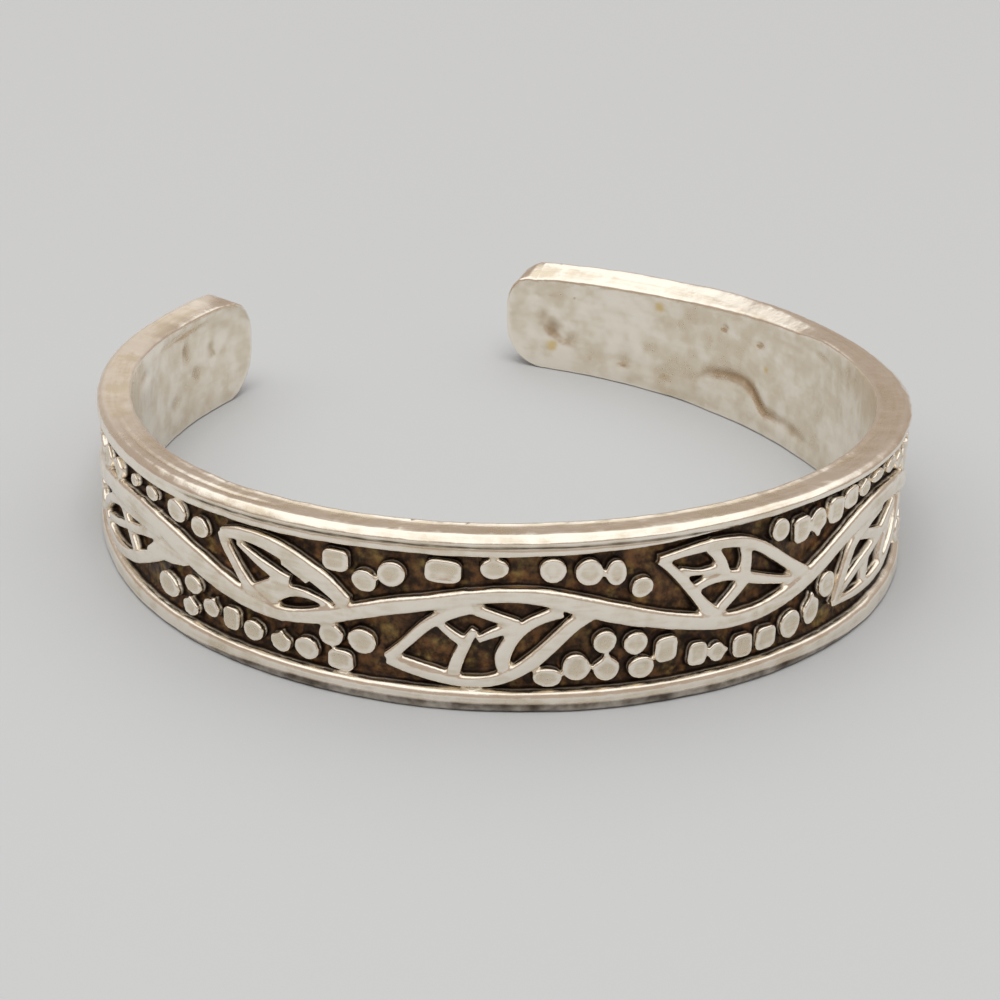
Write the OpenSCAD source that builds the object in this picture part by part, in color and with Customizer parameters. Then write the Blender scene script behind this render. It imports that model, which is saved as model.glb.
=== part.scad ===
// An open toe ring in cast silver, lying on its side, in millimetres.
// The bore's axis is +Z, the middle of the decorated front faces -Y, and the open ends are at +Y.
// A turn is the angle in degrees from the middle of the front, positive to the right seen from the front.
// A share is a height over the base, as a share of the band's height at that turn.

/* [Band] */
// Inside diameter of the front arc
bore_d = 16; // [15:0.5:18]
// Thickness of the wall, over the rails and the raised work
wall_t = 0.75; // [0.7:0.05:0.9]
// Height of the band at the middle of the front
front_h = 3.8; // [3.6:0.1:4.4]
// Slope of the top edge, down from the front to the ends, in degrees
taper = 3.5; // [3:0.5:5]
// Half of the angle that the front arc spans
front_turn = 80; // [75:1:90]
// Radius of the two arms over the radius of the front arc
arm_ratio = 1.3; // [1.15:0.05:1.4]
// Turn at which each arm ends
end_turn = 146; // [140:1:150]
// Radius of the rounded corners at the ends
end_r = 1.1; // [0.8:0.1:1.2]

/* [Relief] */
// Depth of the ground below the rails
ground_t = 0.3; // [0.2:0.05:0.35]
// Half of the angle that the decorated panel spans
panel_turn = 108; // [104:1:112]
// Share of the height that the lower rail takes
low_rail = 0.12; // [0.1:0.01:0.13]
// Share of the height at which the upper rail starts
top_rail = 0.9; // [0.89:0.01:0.92]
// Width of the vine's stem
vine_w = 0.42; // [0.35:0.01:0.5]
// Width of the leaves' outlines
edge_w = 0.26; // [0.2:0.01:0.3]
// Width of the leaves' veins
vein_w = 0.2; // [0.16:0.01:0.24]

/* [Hidden] */
$fn = 96;
outer_r = bore_d / 2 + wall_t;
arm_r = arm_ratio * outer_r;
big = 4 * outer_r;
// What is set on the ground is sunk this far into it
sink = 0.12;
// The side walls of the raised work lean in by this much from foot to top
lean = 0.05;
// Depths of the raised tops below the rails' face: the stem stands highest, then outlines, veins, pebbles
STEM_TOP = 0.01;
EDGE_TOP = 0.04;
VEIN_TOP = 0.07;
PEBBLE_TOP = 0.03;
// The vine waves about a middle line, with a crest at this turn and one every so many degrees
VINE_MIDDLE = 0.54;
VINE_SWING = 0.145;
VINE_CREST = -20;
VINE_PERIOD = 62;
VINE_STEP = 4;

// Edges of the leaves, each a list of [turn, share] from the stem to the tip
LEAF_EDGES = [
    [[-72, 0.56], [-78, 0.53], [-84, 0.53], [-89, 0.51], [-93, 0.42], [-95, 0.28]],
    [[-70, 0.55], [-75, 0.36], [-80, 0.25], [-86, 0.19], [-91, 0.2], [-95, 0.28]],
    [[-40, 0.53], [-43.5, 0.64], [-47, 0.74], [-51, 0.8], [-56, 0.82], [-60.5, 0.79]],
    [[-50, 0.42], [-53, 0.46], [-56, 0.54], [-58, 0.63], [-59.7, 0.72], [-60.5, 0.79]],
    [[-22, 0.64], [-26, 0.6], [-29.5, 0.52], [-32, 0.41], [-34, 0.32], [-35.5, 0.25]],
    [[-7, 0.56], [-12, 0.44], [-17, 0.27], [-22, 0.17], [-29, 0.17], [-35.5, 0.25]],
    [[24, 0.51], [20, 0.6], [15.5, 0.73], [11, 0.84], [5, 0.87], [0, 0.85]],
    [[9, 0.42], [6.5, 0.5], [4.5, 0.6], [2.5, 0.69], [1, 0.78], [0, 0.85]],
    [[41, 0.67], [37, 0.63], [34, 0.56], [32.3, 0.45], [31.2, 0.35], [30.5, 0.26]],
    [[52, 0.62], [51, 0.46], [48.5, 0.33], [44, 0.24], [37, 0.22], [30.5, 0.26]],
    [[83, 0.53], [79.5, 0.64], [76, 0.74], [72, 0.81], [67, 0.83], [62, 0.8]],
    [[74, 0.42], [70, 0.47], [67, 0.55], [65, 0.63], [63.3, 0.72], [62, 0.8]],
    [[103, 0.64], [98, 0.58], [94, 0.5], [91, 0.4], [89, 0.32], [88, 0.25]],
    [[107, 0.45], [103, 0.35], [99.5, 0.25], [96, 0.19], [92, 0.19], [88, 0.25]]
];
// Veins of the leaves, each a list of [turn, share], the middle vein of each leaf first
VEINS = [
    [[-75, 0.52], [-80, 0.44], [-86, 0.36], [-92, 0.28]],
    [[-83.5, 0.53], [-83, 0.4], [-83.5, 0.21]],
    [[-43, 0.54], [-48, 0.6], [-53, 0.68], [-58.5, 0.76]],
    [[-49, 0.61], [-51, 0.53], [-53, 0.45]],
    [[-53.5, 0.68], [-55.5, 0.61], [-57, 0.57]],
    [[-47.5, 0.6], [-49, 0.69], [-51, 0.79]],
    [[-11, 0.58], [-17, 0.51], [-24, 0.41], [-29, 0.33], [-34, 0.27]],
    [[-24, 0.42], [-27, 0.45], [-28.5, 0.5]],
    [[-24.5, 0.41], [-26, 0.3], [-26.5, 0.18]],
    [[-19, 0.48], [-20.5, 0.35], [-21, 0.19]],
    [[-16.5, 0.52], [-20, 0.57], [-24, 0.61]],
    [[20, 0.52], [15, 0.58], [10, 0.65], [4.5, 0.62]],
    [[12.5, 0.61], [10.5, 0.54], [8.5, 0.45]],
    [[12.5, 0.61], [13.2, 0.69], [14, 0.75]],
    [[9, 0.65], [9.2, 0.74], [6, 0.86]],
    [[49, 0.58], [43, 0.46], [37, 0.37], [32, 0.29]],
    [[43.5, 0.47], [39, 0.53], [35.5, 0.58]],
    [[39.5, 0.41], [39.5, 0.32], [39, 0.23]],
    [[79, 0.54], [74, 0.6], [69, 0.68], [63.5, 0.76]],
    [[73, 0.61], [71, 0.54], [69, 0.48]],
    [[74.5, 0.6], [73, 0.69], [71, 0.8]],
    [[104, 0.52], [99, 0.43], [94, 0.35], [89.5, 0.28]],
    [[97, 0.4], [97.5, 0.3], [97, 0.2]]
];
// Pebbles above the vine: turn, share, width along the band and height in millimetres
UPPER_PEBBLES = [
    [-102, 0.72, 0.7, 0.46], [-96, 0.75, 0.7, 0.44], [-90, 0.76, 0.75, 0.44], [-85, 0.79, 0.5, 0.34],
    [-77, 0.81, 0.58, 0.44], [-70.2, 0.79, 0.8, 0.55], [-64.7, 0.75, 0.64, 0.5],
    [-42.5, 0.78, 0.58, 0.52], [-38.5, 0.7, 0.52, 0.5], [-34.5, 0.755, 0.58, 0.54],
    [-28.3, 0.79, 0.74, 0.54], [-21.7, 0.82, 0.56, 0.38], [-14.3, 0.81, 0.54, 0.5],
    [-9.6, 0.8, 0.56, 0.62], [-6, 0.78, 0.46, 0.56], [-2.6, 0.68, 0.5, 0.46],
    [17.7, 0.83, 0.46, 0.46], [21.6, 0.79, 0.46, 0.58], [25.2, 0.79, 0.5, 0.58],
    [29.3, 0.81, 0.52, 0.56], [33, 0.83, 0.48, 0.42], [37, 0.84, 0.46, 0.36],
    [41.2, 0.845, 0.52, 0.32], [46.2, 0.83, 0.6, 0.34], [51.2, 0.8, 0.56, 0.44], [55.6, 0.77, 0.5, 0.5],
    [85, 0.79, 0.6, 0.44], [89.5, 0.81, 0.6, 0.38], [94, 0.82, 0.6, 0.34], [98.7, 0.82, 0.6, 0.32],
    [103.5, 0.81, 0.6, 0.34]
];
// Pebbles below the vine, in the same columns
LOWER_PEBBLES = [
    [-104, 0.25, 0.7, 0.48], [-99.2, 0.25, 0.6, 0.48],
    [-72.6, 0.27, 0.76, 0.54], [-67.3, 0.215, 0.56, 0.4], [-66.6, 0.37, 0.54, 0.42], [-62.8, 0.27, 0.6, 0.5],
    [-58.9, 0.25, 0.52, 0.54], [-55, 0.225, 0.56, 0.5], [-50.6, 0.225, 0.48, 0.48], [-46.5, 0.225, 0.62, 0.5],
    [-43.3, 0.335, 0.54, 0.44], [-41.6, 0.195, 0.6, 0.4], [-38.7, 0.34, 0.58, 0.54],
    [-14.6, 0.2, 0.6, 0.42], [-10.9, 0.25, 0.58, 0.58], [-7.7, 0.4, 0.5, 0.4], [-6.9, 0.24, 0.54, 0.54],
    [-3.2, 0.37, 0.5, 0.4], [-2.2, 0.22, 0.54, 0.44], [1.4, 0.3, 0.48, 0.48], [5.6, 0.24, 0.4, 0.52],
    [8.7, 0.23, 0.4, 0.42], [12.9, 0.23, 0.5, 0.48], [16.9, 0.23, 0.5, 0.5], [21.3, 0.25, 0.6, 0.6],
    [25.3, 0.26, 0.54, 0.66], [28.3, 0.4, 0.5, 0.42],
    [55.5, 0.3, 0.54, 0.54], [59.6, 0.24, 0.54, 0.5], [63.7, 0.23, 0.54, 0.48], [67.8, 0.22, 0.54, 0.46],
    [71.9, 0.22, 0.54, 0.46], [76, 0.22, 0.54, 0.46], [80.2, 0.24, 0.56, 0.5], [84.2, 0.28, 0.54, 0.5],
    [83, 0.42, 0.44, 0.38]
];

// Direction that the outer face looks in at a turn
function facing(turn) = [sin(turn), -cos(turn)];
// Centre and outer radius of the arc that a turn lies on: the front arc, or one of the arms
function arc_centre(turn) =
    abs(turn) <= front_turn ? [0, 0] : (outer_r - arm_r) * facing(sign(turn) * front_turn);
function arc_radius(turn) = abs(turn) <= front_turn ? outer_r : arm_r;
// Point of the plan at a turn, this deep below the outer face
function on_plan(turn, depth) = arc_centre(turn) + (arc_radius(turn) - depth) * facing(turn);
// Height of the top edge at a turn, and length of one degree along the outer face
function height_at(turn) = front_h - (on_plan(turn, 0).y + outer_r) * tan(taper);
function degree_at(turn) = arc_radius(turn) * PI / 180;
// Point in space at a turn and share, this deep below the outer face
function at(turn, share, depth) =
    let (p = on_plan(turn, depth)) [p.x, p.y, share * height_at(turn)];
// The vine's height at a turn
function vine_share(turn) =
    VINE_MIDDLE + VINE_SWING * cos(360 / VINE_PERIOD * (turn - VINE_CREST));
// A line with its corners cut once, so that it curves
function curved(line) =
    [
        line[0],
        for (i = [0 : len(line) - 2])
            each [0.75 * line[i] + 0.25 * line[i + 1], 0.25 * line[i] + 0.75 * line[i + 1]],
        line[len(line) - 1]
    ];
// The way that a line of [turn, share] points runs at point i, as a unit vector along and up the face
function heading(line, i) =
    let (
        a = line[max(i - 1, 0)],
        b = line[min(i + 1, len(line) - 1)],
        run = (b[0] - a[0]) * degree_at(line[i][0]),
        rise = (b[1] - a[1]) * height_at(line[i][0])
    )
    [run, rise] / norm([run, rise]);
// Four corners of a raised line's section at point i: two at its foot, two at its narrower top
function section(line, i, width, top) =
    let (
        turn = line[i][0],
        share = line[i][1],
        way = heading(line, i),
        foot = ground_t + sink,
        across = [-way.y / degree_at(turn), way.x / height_at(turn)]
    )
    [for (c = [[1, foot], [-1, foot], [-1, top], [1, top]])
        let (half = c[0] * (width / 2 - (c[1] == top ? lean : 0)))
        at(turn + half * across.x, share + half * across.y, c[1])];

// A raised line with a foot, a flat top and leaning sides, swept along [turn, share] points
module raised_line(line, width, top) {
    n = len(line);
    sides = [for (i = [0 : n - 2], k = [0 : 3])
        let (a = 4 * i + k, b = 4 * i + (k + 1) % 4)
        each [[a, b, b + 4], [a, b + 4, a + 4]]];
    caps = [[0, 3, 2], [0, 2, 1], [4 * n - 4, 4 * n - 3, 4 * n - 2], [4 * n - 4, 4 * n - 2, 4 * n - 1]];
    polyhedron([for (i = [0 : n - 1]) each section(line, i, width, top)], concat(sides, caps));
}

// One flat-topped pebble, an eight-sided block that stands out of the ground
module pebble(turn, share, wide, tall) {
    cut = 0.3;
    foot = at(turn, share, ground_t + sink);
    translate(foot) rotate([90, 0, turn])
        linear_extrude(ground_t + sink - PEBBLE_TOP)
            polygon([for (q = [[1, 1], [-1, 1], [-1, -1], [1, -1]])
                each let (
                    far = [q.x * wide / 2, q.y * tall / 2],
                    by_x = [far.x * (1 - 2 * cut), far.y],
                    by_y = [far.x, far.y * (1 - 2 * cut)]
                )
                q.x * q.y > 0 ? [by_y, by_x] : [by_x, by_y]]);
}

// One arc of the wall: the left arm, the front or the right arm, for a side of -1, 0 or 1
module wall_arc(side, turns, from_depth, to_depth, tall) {
    radius = side == 0 ? outer_r : arm_r;
    centre = side == 0 ? [0, 0] : (outer_r - arm_r) * facing(side * front_turn);
    translate(centre)
        rotate_extrude(angle = turns[1] - turns[0], start = turns[0] - 90)
            translate([radius - to_depth, 0])
                square([to_depth - from_depth, tall]);
}

// The wall of all three arcs from one depth to another below the outer face, out to a turn on both sides
module wall(from_depth, to_depth, turn, tall) {
    wall_arc(-1, [-turn, -front_turn], from_depth, to_depth, tall);
    wall_arc(0, [-front_turn, front_turn], from_depth, to_depth, tall);
    wall_arc(1, [front_turn, turn], from_depth, to_depth, tall);
}

// All that lies below a plane that slopes as the top edge does, at a share of the height
module below_share(share) {
    slope = share * tan(taper);
    front = share * front_h;
    rotate([90, 0, 90]) linear_extrude(big, center = true)
        polygon([
            [-outer_r - big / 2, -big], [big, -big], [big, front - (big + outer_r) * slope],
            [-outer_r - big / 2, front + big / 2 * slope]
        ]);
}

// What rounds the two corners of the end at this turn off, seen along the face
module end_corners(turn) {
    way = sign(turn);
    high = height_at(turn - way * end_r / degree_at(turn));
    for (z = [end_r, high - end_r])
        translate(concat(on_plan(turn, wall_t / 2), z)) rotate([90, 0, turn])
            translate([-way * end_r, 0, 0]) linear_extrude(4 * wall_t, center = true)
                difference() {
                    translate([way > 0 ? 0 : -2 * end_r, z == end_r ? -2 * end_r : 0])
                        square(2 * end_r);
                    circle(end_r);
                }
}

module toe_ring() {
    color("silver") {
        difference() {
            intersection() {
                wall(0, wall_t, end_turn, big);
                below_share(1);
            }
            intersection() {
                wall(-1, ground_t, panel_turn, big);
                difference() {
                    below_share(top_rail);
                    below_share(low_rail);
                }
            }
            end_corners(-end_turn);
            end_corners(end_turn);
        }
        raised_line(
            [for (t = [-panel_turn - 1 : VINE_STEP : panel_turn + 2]) [t, vine_share(t)]], vine_w, STEM_TOP);
        for (edge = LEAF_EDGES)
            raised_line(curved(edge), edge_w, EDGE_TOP);
        for (vein = VEINS)
            raised_line(curved(vein), vein_w, VEIN_TOP);
        for (p = concat(UPPER_PEBBLES, LOWER_PEBBLES))
            pebble(p[0], p[1], p[2], p[3]);
    }
}

toe_ring();
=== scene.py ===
"""An open toe ring in cast silver, dressed and lit for a studio picture.

The band is modelled flat, as a caster cuts a wax: a tapered strip with two rails and a sunk ground, on
which a vine, leaves and pebbles are set. The strip is fused into one skin, worn smooth, and rolled up
along the ring's plan. Flat sizes are in millimetres: x runs along the outer face from the middle of the
front, y is the depth below that face and z is the height. The finished piece is in metres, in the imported
model's frame. A turn is an angle in degrees from the middle of the front, positive to the right, and a
share is a height over the base as a share of the band's height there.
"""

import logging
import math
import random
from contextlib import contextmanager
from dataclasses import dataclass
from enum import Enum
from typing import Any, Callable, Iterator, Optional, Sequence

import bmesh
import bpy
import numpy as np
from mathutils import Matrix, Vector

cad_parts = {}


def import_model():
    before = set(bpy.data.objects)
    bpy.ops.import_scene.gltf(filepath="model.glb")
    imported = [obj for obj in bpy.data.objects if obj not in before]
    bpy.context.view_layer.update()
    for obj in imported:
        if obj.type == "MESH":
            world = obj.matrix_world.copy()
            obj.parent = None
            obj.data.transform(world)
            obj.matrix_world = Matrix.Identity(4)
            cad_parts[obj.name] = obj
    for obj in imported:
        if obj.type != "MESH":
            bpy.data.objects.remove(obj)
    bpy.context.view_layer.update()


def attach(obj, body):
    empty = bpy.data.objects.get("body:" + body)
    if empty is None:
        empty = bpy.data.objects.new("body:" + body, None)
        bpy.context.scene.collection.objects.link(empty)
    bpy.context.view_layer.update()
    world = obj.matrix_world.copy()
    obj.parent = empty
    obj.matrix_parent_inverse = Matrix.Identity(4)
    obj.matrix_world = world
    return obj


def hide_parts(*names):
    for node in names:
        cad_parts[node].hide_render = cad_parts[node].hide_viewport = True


LOG = logging.getLogger("toe_ring")
MM = 0.001
# Least part of an edge's direction, or of a face's normal, along an axis for it to count as lying along it
STRAIGHT = 0.99
FACING = 0.9
# Distance in millimetres within which an edge counts as being at a place
NEAR = 1e-4

Piece = bpy.types.Object
Pair = tuple[float, float]
Colour = tuple[float, float, float]
Points = Sequence[Pair]
Test = Callable[[Vector, Vector], bool]


def ramp(value: Any, start: float, width: float) -> np.ndarray:
    """Rises from 0 at a start to 1 a width further on."""
    return np.clip((value - start) / width, 0, 1)


def bell(value: Any, middle: float, width: float = 1.0) -> np.ndarray:
    """Falls softly from 1 in the middle to 0 on both sides."""
    return np.exp(-(((value - middle) / width) ** 2))


class Bench:
    """The hand moves that every piece is modelled with."""

    @staticmethod
    def put_down() -> None:
        """Deselects every object."""
        for thing in list(bpy.context.selected_objects):
            thing.select_set(False)

    @staticmethod
    def take(piece: Piece, *others: Piece) -> None:
        """Selects only these pieces.

        Args:
            piece: The piece that becomes the active one.
            others: More pieces to select with it.
        """
        Bench.put_down()
        for thing in (piece, *others):
            thing.select_set(True)
        bpy.context.view_layer.objects.active = piece

    @staticmethod
    def settle(piece: Piece) -> Piece:
        """Puts a piece's place, turn and size into its mesh.

        Args:
            piece: The piece to settle.

        Returns:
            The same piece.
        """
        Bench.take(piece)
        bpy.ops.object.transform_apply(location=True, rotation=True, scale=True)
        return piece

    @staticmethod
    def block(name: str, low: Sequence[float], high: Sequence[float]) -> Piece:
        """Adds a block between two corners.

        Args:
            name: Name of the new piece.
            low: Lowest corner.
            high: Highest corner.

        Returns:
            The new piece.
        """
        Bench.put_down()
        corners = Vector(low), Vector(high)
        bpy.ops.mesh.primitive_cube_add(
            size=1, location=(corners[0] + corners[1]) / 2, scale=corners[1] - corners[0])
        piece = bpy.context.active_object
        piece.name = name
        return Bench.settle(piece)

    @staticmethod
    @contextmanager
    def edit(piece: Piece, mode: str = "FACE") -> Iterator[None]:
        """Opens a piece in edit mode with nothing selected.

        Args:
            piece: The piece to edit.
            mode: What is selected there: VERT, EDGE or FACE.

        Yields:
            Nothing; edit mode ends with the block.
        """
        Bench.take(piece)
        bpy.ops.object.mode_set(mode="EDIT")
        bpy.ops.mesh.select_mode(type=mode)
        bpy.ops.mesh.select_all(action="DESELECT")
        yield
        bpy.ops.object.mode_set(mode="OBJECT")

    @staticmethod
    def pick_faces(piece: Piece, test: Test) -> None:
        """Selects the faces that pass a test, in edit mode.

        Args:
            piece: The piece in edit mode.
            test: Takes a face's centre and normal.
        """
        mesh = bmesh.from_edit_mesh(piece.data)
        for face in mesh.faces:
            face.select_set(test(face.calc_center_median(), face.normal))
        bmesh.update_edit_mesh(piece.data)

    @staticmethod
    def pick_edges(piece: Piece, test: Test) -> None:
        """Selects the edges that pass a test, in edit mode.

        Args:
            piece: The piece in edit mode.
            test: Takes an edge's middle and its direction as a unit vector without sign.
        """
        mesh = bmesh.from_edit_mesh(piece.data)
        for edge in mesh.edges:
            one, two = (vertex.co for vertex in edge.verts)
            way = (two - one).normalized()
            edge.select_set(test((one + two) / 2, Vector(map(abs, way))))
        bmesh.update_edit_mesh(piece.data)

    @staticmethod
    def apply(piece: Piece, kind: str, **settings: Any) -> None:
        """Adds one modifier to a piece and applies it.

        Args:
            piece: The piece to finish.
            kind: The modifier's type.
            settings: The modifier's settings by name.
        """
        Bench.take(piece)
        modifier = piece.modifiers.new(kind.title(), kind)
        for key, value in settings.items():
            setattr(modifier, key, value)
        bpy.ops.object.modifier_apply(modifier=modifier.name)

    @staticmethod
    def copy(piece: Piece, name: str) -> Piece:
        """Copies a piece with its own mesh.

        Args:
            piece: The piece to copy.
            name: Name of the copy.

        Returns:
            The copy.
        """
        twin = piece.copy()
        twin.data = piece.data.copy()
        twin.name = name
        bpy.context.scene.collection.objects.link(twin)
        return twin

    @staticmethod
    def throw_away(piece: Piece) -> None:
        """Deletes a piece with its mesh."""
        bpy.data.meshes.remove(piece.data)

    @staticmethod
    def join(name: str, pieces: Sequence[Piece]) -> Piece:
        """Joins pieces into one object.

        Args:
            name: Name of the joined piece.
            pieces: The pieces, which are used up.

        Returns:
            The joined piece.
        """
        Bench.take(*pieces)
        bpy.ops.object.join()
        joined = bpy.context.active_object
        joined.name = name
        return joined

    @staticmethod
    def points(piece: Piece) -> np.ndarray:
        """Reads a piece's points.

        Args:
            piece: The piece to read.

        Returns:
            Rows of x, y and z.
        """
        flat = np.zeros(len(piece.data.vertices) * 3, np.float32)
        piece.data.vertices.foreach_get("co", flat)
        return flat.reshape(-1, 3).astype(float)

    @staticmethod
    def set_points(piece: Piece, points: np.ndarray) -> None:
        """Writes a piece's points, given as rows of x, y and z."""
        piece.data.vertices.foreach_set("co", points.astype(np.float32).ravel())
        piece.data.update()


@dataclass(frozen=True)
class Plan:
    """The ring's plan and height: a round front, two flatter arms and a sloping top edge."""

    bore_r: float = 8.0
    wall: float = 0.75
    front_h: float = 3.8
    taper: float = 3.5
    front_turn: float = 80.0
    arm_ratio: float = 1.3
    end_turn: float = 146.0

    @property
    def outer_r(self) -> float:
        """Outer radius of the front arc."""
        return self.bore_r + self.wall

    @property
    def arm_r(self) -> float:
        """Outer radius of the arms."""
        return self.arm_ratio * self.outer_r

    def run_at(self, turn: Any) -> np.ndarray:
        """Measures along the outer face from the middle of the front.

        Args:
            turn: Turns in degrees.

        Returns:
            The lengths up to those turns.
        """
        turn = np.asarray(turn, float)
        on_front = np.clip(turn, -self.front_turn, self.front_turn)
        return np.radians(on_front) * self.outer_r + np.radians(turn - on_front) * self.arm_r

    def turn_at(self, run: Any) -> np.ndarray:
        """Finds where a length along the outer face ends.

        Args:
            run: Lengths from the middle of the front.

        Returns:
            The turns at their ends, in degrees.
        """
        run = np.asarray(run, float)
        front_run = math.radians(self.front_turn) * self.outer_r
        on_front = np.clip(run, -front_run, front_run)
        return np.degrees(on_front / self.outer_r + (run - on_front) / self.arm_r)

    def on_plan(self, turn: Any, depth: Any) -> tuple[np.ndarray, np.ndarray]:
        """Point of the plan.

        Args:
            turn: Turns in degrees.
            depth: Depths below the outer face.

        Returns:
            The points' x and y.
        """
        turn = np.asarray(turn, float)
        on_arm = np.abs(turn) > self.front_turn
        joint = np.radians(np.sign(turn) * self.front_turn)
        off = np.where(on_arm, self.outer_r - self.arm_r, 0.0)
        radius = np.where(on_arm, self.arm_r, self.outer_r) - depth
        angle = np.radians(turn)
        return (off * np.sin(joint) + radius * np.sin(angle),
                -off * np.cos(joint) - radius * np.cos(angle))

    def top_at(self, y: Any) -> np.ndarray:
        """Height of the top edge's plane over a y of the plan."""
        return self.front_h - (np.asarray(y, float) + self.outer_r) * math.tan(math.radians(self.taper))

    def height_at(self, turn: Any) -> np.ndarray:
        """Height of the band on its outer face at a turn."""
        return self.top_at(self.on_plan(turn, 0.0)[1])

    def flat(self, turn: Any, share: Any) -> tuple[np.ndarray, np.ndarray]:
        """Place on the flat strip, as its x and z, of a turn and a share."""
        return self.run_at(turn), np.asarray(share, float) * self.height_at(turn)

    def roll_up(self, points: np.ndarray) -> np.ndarray:
        """Rolls the flat strip's points up along the plan.

        Args:
            points: Rows of x, y and z on the flat strip.

        Returns:
            Rows of x, y and z in the ring's own frame, still in millimetres.
        """
        turn = self.turn_at(points[:, 0])
        x, y = self.on_plan(turn, points[:, 1])
        share = points[:, 2] / self.height_at(turn)
        return np.column_stack([x, y, share * self.top_at(y)])


class Side(Enum):
    """The two arms of the ring, seen from the front."""

    LEFT = -1
    RIGHT = 1


@dataclass
class Strip:
    """The plain strip: its taper, its two rails, its sunk ground and its rounded ends."""

    plan: Plan
    # Half of the turn that the panel spans, and the depth of its ground
    panel_turn: float = 108.0
    ground: float = 0.3
    # Share that the lower rail takes, and share at which the upper rail starts in the plain strip
    low_rail: float = 0.12
    top_rail: float = 0.9
    # Sizes of the flat and the rounds along the edges
    rim_flat: float = 0.12
    foot_round: float = 0.1
    inner_round: float = 0.06
    low_rail_round: float = 0.13
    top_rail_round: float = 0.06
    # Radius of the ends' corners, and the angles of the flats that are filed there
    end_r: float = 1.1
    filed: Sequence[float] = (10, 25, 40, 55, 70, 82)
    cuts: int = 40
    # Share at which the upper rail really starts, at a few turns
    rail_line: Points = (
        (-108, 0.88), (-60, 0.88), (-20, 0.885), (-2, 0.9), (8, 0.93), (20, 0.94), (45, 0.95), (70, 0.94),
        (108, 0.9))

    def build(self) -> Piece:
        """Models the flat strip.

        Returns:
            The strip as one closed piece.
        """
        plan = self.plan
        half = float(plan.run_at(plan.end_turn))
        strip = Bench.block("strip", (-half, 0, 0), (half, plan.wall, plan.front_h))
        self._sink_ground(strip)
        self._round_long_edges(strip)
        with Bench.edit(strip, "EDGE"):
            Bench.pick_edges(strip, lambda middle, way: way.x > STRAIGHT)
            bpy.ops.mesh.subdivide(number_cuts=self.cuts)
        self._taper(strip)
        for side in Side:
            self._file_end(strip, side)
        return strip

    def _sink_ground(self, strip: Piece) -> None:
        """Cuts the panel's outline into the outer face and sinks the ground inside it.

        Args:
            strip: The plain block.
        """
        panel = float(self.plan.run_at(self.panel_turn))
        low, top = self.low_rail * self.plan.front_h, self.top_rail * self.plan.front_h
        lines = (((-panel, 0, 0), (1, 0, 0)), ((panel, 0, 0), (1, 0, 0)), ((0, 0, low), (0, 0, 1)),
                 ((0, 0, top), (0, 0, 1)))
        with Bench.edit(strip):
            for place, normal in lines:
                bpy.ops.mesh.select_all(action="SELECT")
                bpy.ops.mesh.bisect(plane_co=place, plane_no=normal)
            Bench.pick_faces(
                strip, lambda at, normal: normal.y < -FACING and abs(at.x) < panel and low < at.z < top)
            bpy.ops.mesh.extrude_region_move(TRANSFORM_OT_translate={"value": (0, self.ground, 0)})

    def _round_long_edges(self, strip: Piece) -> None:
        """Rounds the strip's long edges and the rails' edges over the ground.

        Args:
            strip: The strip, not yet tapered.
        """
        wall, high = self.plan.wall, self.plan.front_h
        panel = float(self.plan.run_at(self.panel_turn))
        # Depth and height of each edge, its half length, the size of its rounding and its number of flats
        edges = (
            (0, high, math.inf, self.rim_flat, 1), (0, 0, math.inf, self.foot_round, 4),
            (wall, high, math.inf, self.inner_round, 4), (wall, 0, math.inf, self.inner_round, 4),
            (0, self.low_rail * high, panel, self.low_rail_round, 2),
            (0, self.top_rail * high, panel, self.top_rail_round, 3))
        for y, z, half, size, flats in edges:
            with Bench.edit(strip, "EDGE"):
                Bench.pick_edges(
                    strip, lambda middle, way: way.x > STRAIGHT and abs(middle.x) < half
                    and math.hypot(middle.y - y, middle.z - z) < NEAR)
                bpy.ops.mesh.bevel(offset=size, segments=flats, affect="EDGES")

    def _taper(self, strip: Piece) -> None:
        """Lowers the top edge towards the ends and lets the upper rail's edge follow its own line.

        Args:
            strip: The strip, with enough cuts along it to bend.
        """
        points = Bench.points(strip)
        turn = self.plan.turn_at(points[:, 0])
        share = points[:, 2] / self.plan.front_h
        start = np.interp(turn, *zip(*self.rail_line))
        middle = 0.5
        below = middle + (share - middle) * (start - middle) / (self.top_rail - middle)
        above = start + (share - self.top_rail) * (1 - start) / (1 - self.top_rail)
        share = np.where(share < middle, share, np.where(share < self.top_rail, below, above))
        points[:, 2] = share * self.plan.height_at(turn)
        Bench.set_points(strip, points)

    def _file_end(self, strip: Piece, side: Side) -> None:
        """Files the two corners of one end round, a flat at a time.

        Args:
            strip: The tapered strip.
            side: The arm whose end is filed.
        """
        plan = self.plan
        x = side.value * (float(plan.run_at(plan.end_turn)) - self.end_r)
        high = float(plan.height_at(side.value * plan.end_turn))
        for z, up in ((self.end_r, -1), (high - self.end_r, 1)):
            for angle in map(math.radians, self.filed):
                normal = Vector((side.value * math.cos(angle), 0, up * math.sin(angle)))
                with Bench.edit(strip):
                    bpy.ops.mesh.select_all(action="SELECT")
                    bpy.ops.mesh.bisect(
                        plane_co=Vector((x, 0, z)) + normal * self.end_r, plane_no=normal,
                        use_fill=True, clear_outer=True)


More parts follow.
